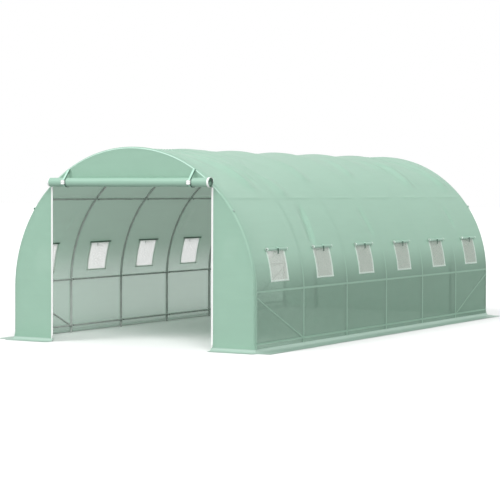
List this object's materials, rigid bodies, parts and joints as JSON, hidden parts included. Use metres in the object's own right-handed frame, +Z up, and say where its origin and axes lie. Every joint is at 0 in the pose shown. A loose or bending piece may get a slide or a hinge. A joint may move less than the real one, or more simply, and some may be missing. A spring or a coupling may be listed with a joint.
{
  "type": "polytunnel greenhouse",
  "caption": "Walk-in polytunnel greenhouse: steel tube hoops under a green film cover, with a rolled-up door, netted side windows and ground skirts.",
  "frame": {"origin": "middle of the ground footprint, skirts included", "axes": "+X to the right seen from the door end, +Y along the tunnel to the closed end, +Z up"},
  "size_m": [3.4, 6.24, 2.06],
  "materials": {
    "steel_tube": "galvanised",
    "cover_film": "woven translucent film",
    "window_net": "fine netting",
    "white_plastic": "moulded",
    "webbing": "woven tape"
  },
  "bodies": {
    "root": {"base_rail_left": "steel_tube", "base_rail_right": "steel_tube", "braces_left": "steel_tube", "braces_right": "steel_tube", "cover_roof_left": "cover_film", "cover_roof_right": "cover_film", "cover_shoulder_left": "cover_film", "cover_shoulder_right": "cover_film", "cover_wall_left": "cover_film", "cover_wall_right": "cover_film", "cover_window_band_left": "cover_film", "cover_window_band_right": "cover_film", "door_ties": "webbing", "door_toggles": "white_plastic", "front_door_header": "steel_tube", "front_door_posts": "steel_tube", "front_door_roll": "cover_film", "front_door_zips": "white_plastic", "front_panel_left": "cover_film", "front_panel_right": "cover_film", "front_panel_top": "cover_film", "hoop_1": "steel_tube", "hoop_2": "steel_tube", "hoop_3": "steel_tube", "hoop_4": "steel_tube", "hoop_5": "steel_tube", "hoop_6": "steel_tube", "hoop_7": "steel_tube", "purlin_left": "steel_tube", "purlin_right": "steel_tube", "rear_door": "cover_film", "rear_door_header": "steel_tube", "rear_door_posts": "steel_tube", "rear_door_zips": "white_plastic", "rear_panel_left": "cover_film", "rear_panel_right": "cover_film", "rear_panel_top": "cover_film", "ridge_beam": "steel_tube", "side_rail_left": "steel_tube", "side_rail_right": "steel_tube", "skirt_front": "cover_film", "skirt_left": "cover_film", "skirt_rear": "cover_film", "skirt_right": "cover_film", "window_rolls_left": "cover_film", "window_rolls_right": "cover_film", "window_screens_left": "window_net", "window_screens_right": "window_net"}
  },
  "joints": []
}
